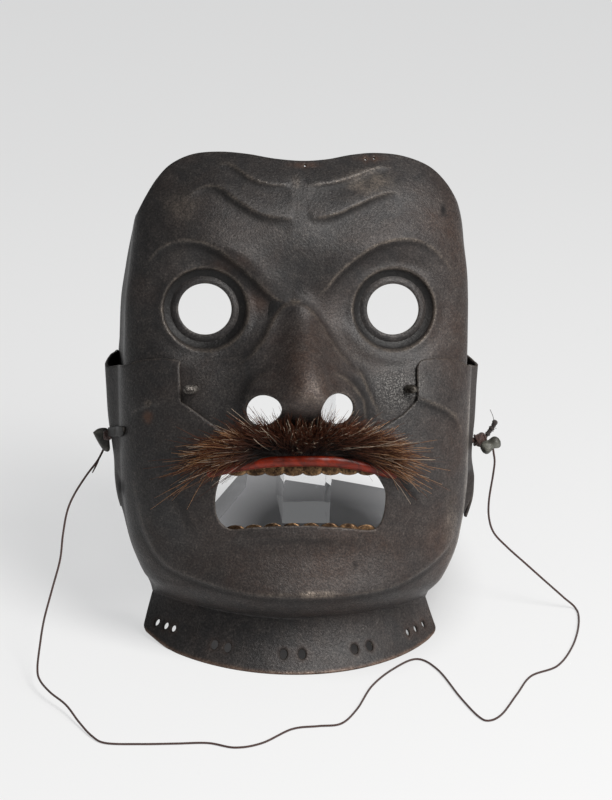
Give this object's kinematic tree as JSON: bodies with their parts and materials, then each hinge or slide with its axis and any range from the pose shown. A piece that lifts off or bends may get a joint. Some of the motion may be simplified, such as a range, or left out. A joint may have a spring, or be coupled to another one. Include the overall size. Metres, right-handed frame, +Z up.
{
  "type": "samurai face guard with display stand",
  "caption": "Full-face iron armour mask with round eye holes, pierced nostrils, red lip, gilt teeth, bristle moustache, throat flange and loose tie cord, held on a clear block stand.",
  "frame": {"origin": "bottom centre of the bounding box of the mask and stand, leaving out the cord and what is on it", "axes": "+Z up, the face looks along -Y, +X to the viewer's right as the viewer faces the mask"},
  "size_m": [0.2725, 0.25, 0.228],
  "materials": {
    "russet_iron": "dark russet iron with a fine grain and worn lighter edges",
    "red_lacquer": "worn glossy red lacquer",
    "gilt_teeth": "worn gilding",
    "bristle": "coarse brown animal bristle",
    "black_leather": "black, dull",
    "cord_silk": "dark red-brown silk cord",
    "toggle_horn": "grey-green horn, dull",
    "clear_acrylic": "polished clear acrylic"
  },
  "bodies": {
    "root": {"upper_face": "russet_iron", "lower_face": "russet_iron", "peg_left": "russet_iron", "peg_right": "russet_iron", "upper_lip": "red_lacquer", "upper_teeth": "gilt_teeth", "lower_teeth": "gilt_teeth", "moustache": "bristle", "strap_left": "black_leather", "knot_left": "cord_silk", "knot_right": "cord_silk", "tie_cord": "cord_silk", "cord_end_left": "cord_silk", "cord_end_right": "cord_silk", "toggle_left": "toggle_horn", "toggle_right": "toggle_horn", "stand_base": "clear_acrylic", "stand_post": "clear_acrylic"}
  },
  "joints": []
}
